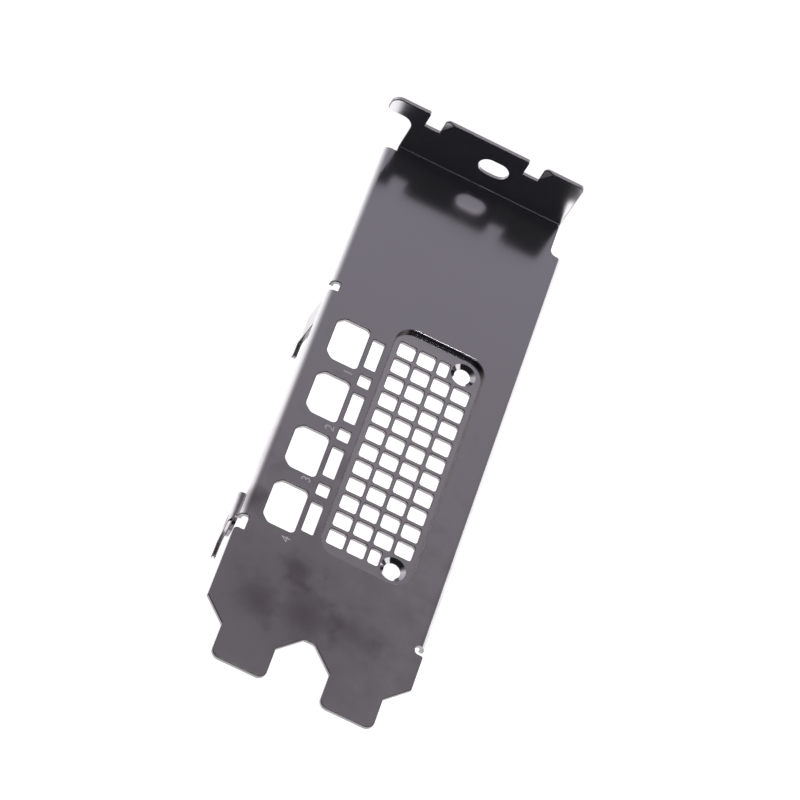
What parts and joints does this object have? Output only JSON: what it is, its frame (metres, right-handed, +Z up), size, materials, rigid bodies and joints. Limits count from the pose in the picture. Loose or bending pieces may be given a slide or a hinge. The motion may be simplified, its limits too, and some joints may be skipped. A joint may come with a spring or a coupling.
{
  "type": "expansion slot bracket",
  "caption": "Folded and plated sheet-steel bracket for an expansion card, with slot tongues, port openings, a recessed vent grille, card hooks and a notched screw flange.",
  "frame": {"origin": "on the table, under the middle of the bracket's box as it lies at rest on its hooks and its right side wall", "axes": "+Y from the tongue tips towards the screw flange, +X across the slots towards the right side wall, +Z up; the plate's outer face looks up and leans 13.4 degrees about Y, left side high"},
  "size_m": [0.0408, 0.1208, 0.0229],
  "materials": {
    "plated_steel": "smooth bright zinc plate over steel"
  },
  "bodies": {
    "root": {"bracket": "plated_steel"}
  },
  "joints": []
}
